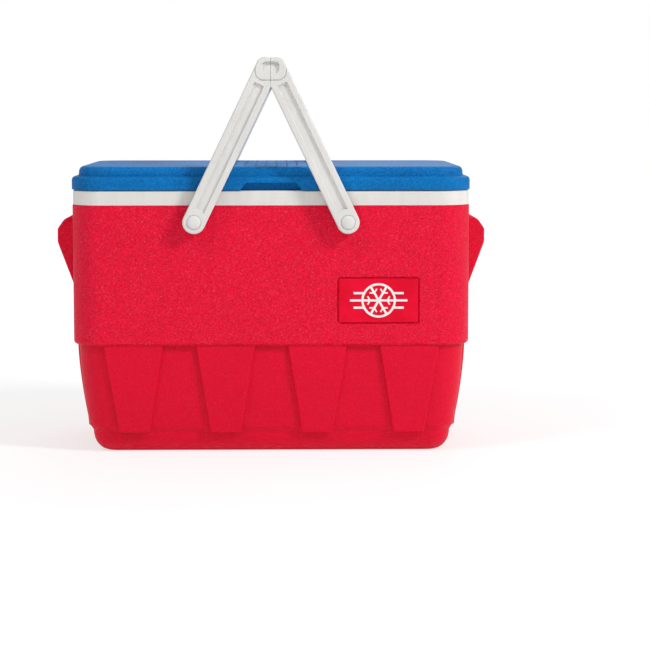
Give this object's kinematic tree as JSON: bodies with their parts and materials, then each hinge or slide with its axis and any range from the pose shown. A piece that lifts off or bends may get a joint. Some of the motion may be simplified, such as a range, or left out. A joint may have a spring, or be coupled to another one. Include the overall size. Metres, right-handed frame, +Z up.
{
  "type": "cooler chest",
  "caption": "Insulated picnic cooler chest with a hinged lid, side ears and swing handles that meet above the lid.",
  "frame": {"origin": "centre of the footprint on the floor", "axes": "+X to the right as the badge is read, -Y to the front, +Z up"},
  "size_m": [0.48, 0.306, 0.4368],
  "materials": {
    "red_shell": "satin",
    "blue_lid": "satin",
    "white_liner": "satin",
    "white_handle": "satin",
    "foam": "matte",
    "badge_red": "satin",
    "badge_white": "satin",
    "steel": "satin"
  },
  "bodies": {
    "chest": {"outer_shell": "red_shell", "foam_core": "foam", "inner_liner": "white_liner", "pivot_socket_fl": "white_handle", "pivot_socket_fr": "white_handle", "pivot_socket_bl": "white_handle", "pivot_socket_br": "white_handle", "pivot_pin_fl": "white_handle", "pivot_pin_fr": "white_handle", "pivot_pin_bl": "white_handle", "pivot_pin_br": "white_handle", "badge_plate": "badge_red", "badge_emblem": "badge_white", "hinge_body_leaf": "steel", "hinge_pin": "steel", "body_screw_l": "steel", "body_screw_r": "steel"},
    "lid": {"lid_cap": "blue_lid", "lid_foam": "foam", "lid_pan": "blue_lid", "hinge_lid_leaf": "steel", "lid_screw_l": "steel", "lid_screw_r": "steel"},
    "left_bail": {"left_handle": "white_handle"},
    "right_bail": {"right_handle": "white_handle"}
  },
  "joints": [
    {"name": "left_handle_swing", "type": "hinge", "parent": "chest", "child": "left_bail", "pos_m": [-0.084, 0, 0.258], "axis": [0, -1, 0], "range_deg": [0, 150]},
    {"name": "right_handle_swing", "type": "hinge", "parent": "chest", "child": "right_bail", "pos_m": [0.084, 0, 0.258], "axis": [0, 1, 0], "range_deg": [0, 150]},
    {"name": "lid_hinge", "type": "hinge", "parent": "chest", "child": "lid", "pos_m": [0, 0.142, 0.292], "axis": [-1, 0, 0], "range_deg": [0, 18]}
  ]
}
